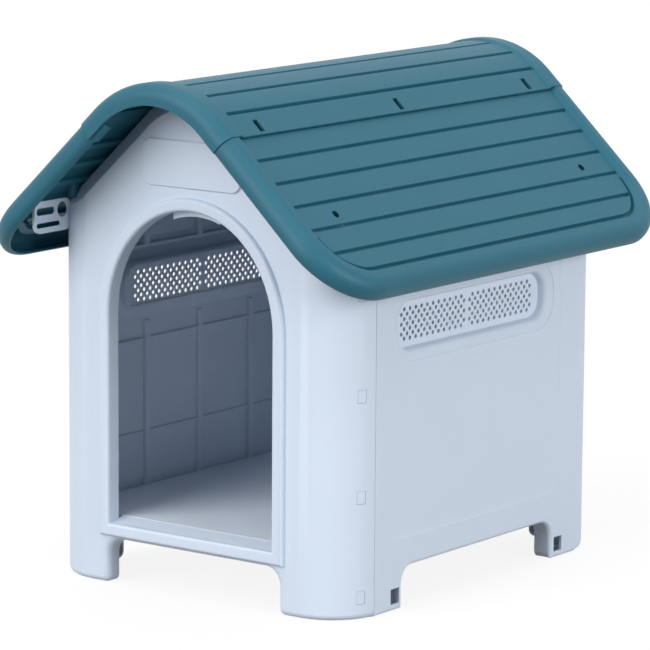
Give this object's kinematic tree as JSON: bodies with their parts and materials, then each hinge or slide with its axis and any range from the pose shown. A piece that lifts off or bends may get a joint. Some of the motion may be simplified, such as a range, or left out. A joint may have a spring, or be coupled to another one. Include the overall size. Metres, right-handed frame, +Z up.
{
  "type": "dog house",
  "caption": "Moulded plastic dog house with an arched doorway, perforated side vents, a raised floor and a ridged lift-off roof.",
  "frame": {"origin": "on the ground under the middle of the house", "axes": "+Z up, the doorway faces -Y, +X to the right seen from the front"},
  "size_m": [0.587, 0.75, 0.6599],
  "materials": {
    "wall_plastic": "satin",
    "floor_plastic": "satin",
    "roof_plastic": "satin",
    "screw_steel": "satin"
  },
  "bodies": {
    "house": {"front_wall": "wall_plastic", "back_wall": "wall_plastic", "left_wall": "wall_plastic", "right_wall": "wall_plastic", "floor_panel": "floor_plastic"},
    "roof": {"roof_ridge_cap": "roof_plastic", "roof_left_panel": "roof_plastic", "roof_right_panel": "roof_plastic", "roof_screws": "screw_steel"}
  },
  "joints": [
    {"name": "roof_lift", "type": "slide", "parent": "house", "child": "roof", "axis": [0, 0, 1], "range_m": [0, 0.3]}
  ]
}
